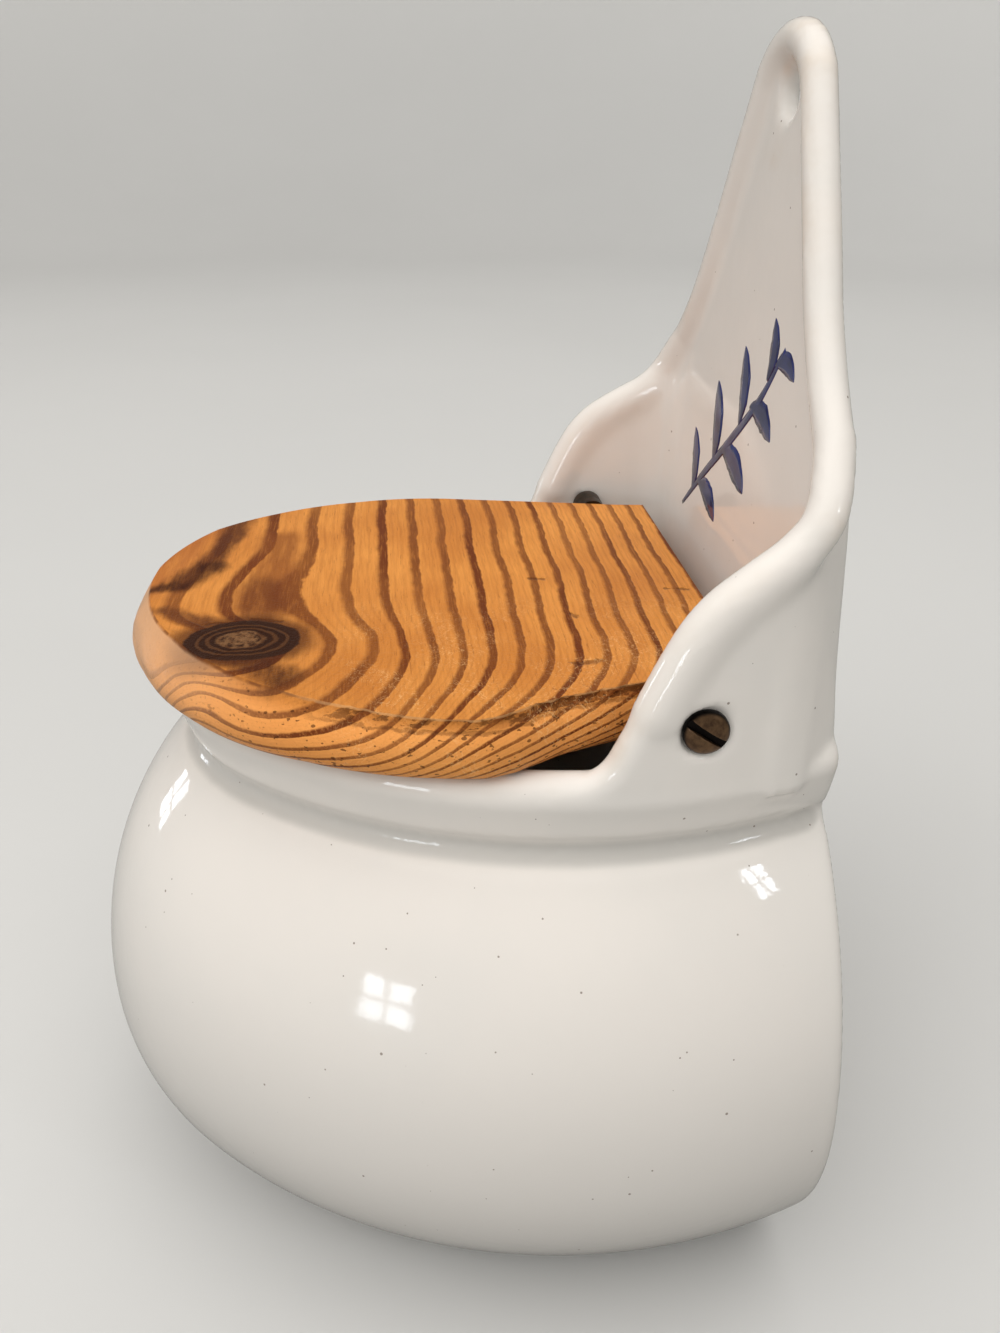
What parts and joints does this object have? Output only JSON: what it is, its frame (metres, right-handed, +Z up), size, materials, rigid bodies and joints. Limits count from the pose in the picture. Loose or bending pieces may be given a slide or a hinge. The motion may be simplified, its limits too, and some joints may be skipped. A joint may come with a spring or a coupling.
{
  "type": "wall salt box",
  "caption": "Wall-hung glazed ceramic salt box with a bulging bowl, a tall pointed back plate with a hang hole, and a hinged pine lid that opens upward.",
  "frame": {"origin": "middle of the part's box in plan, at the height of the base", "axes": "+Z up, +Y toward the wall that the flat back hangs against, +X to the right seen from the front"},
  "size_m": [0.165, 0.1442, 0.233],
  "materials": {
    "glaze": "gloss",
    "pine": "waxed satin",
    "bronze": "aged",
    "dark_metal": "aged"
  },
  "bodies": {
    "pot": {"ceramic_body": "glaze"},
    "lid_set": {"lid": "pine", "pivot_screw_right": "bronze", "pivot_screw_left": "bronze", "spacer_right": "dark_metal", "spacer_left": "dark_metal"}
  },
  "joints": [
    {"name": "lid_hinge", "type": "hinge", "parent": "pot", "child": "lid_set", "pos_m": [0, 0.04457, 0.1285], "axis": [-1, 0, 0], "range_deg": [0, 95]}
  ]
}
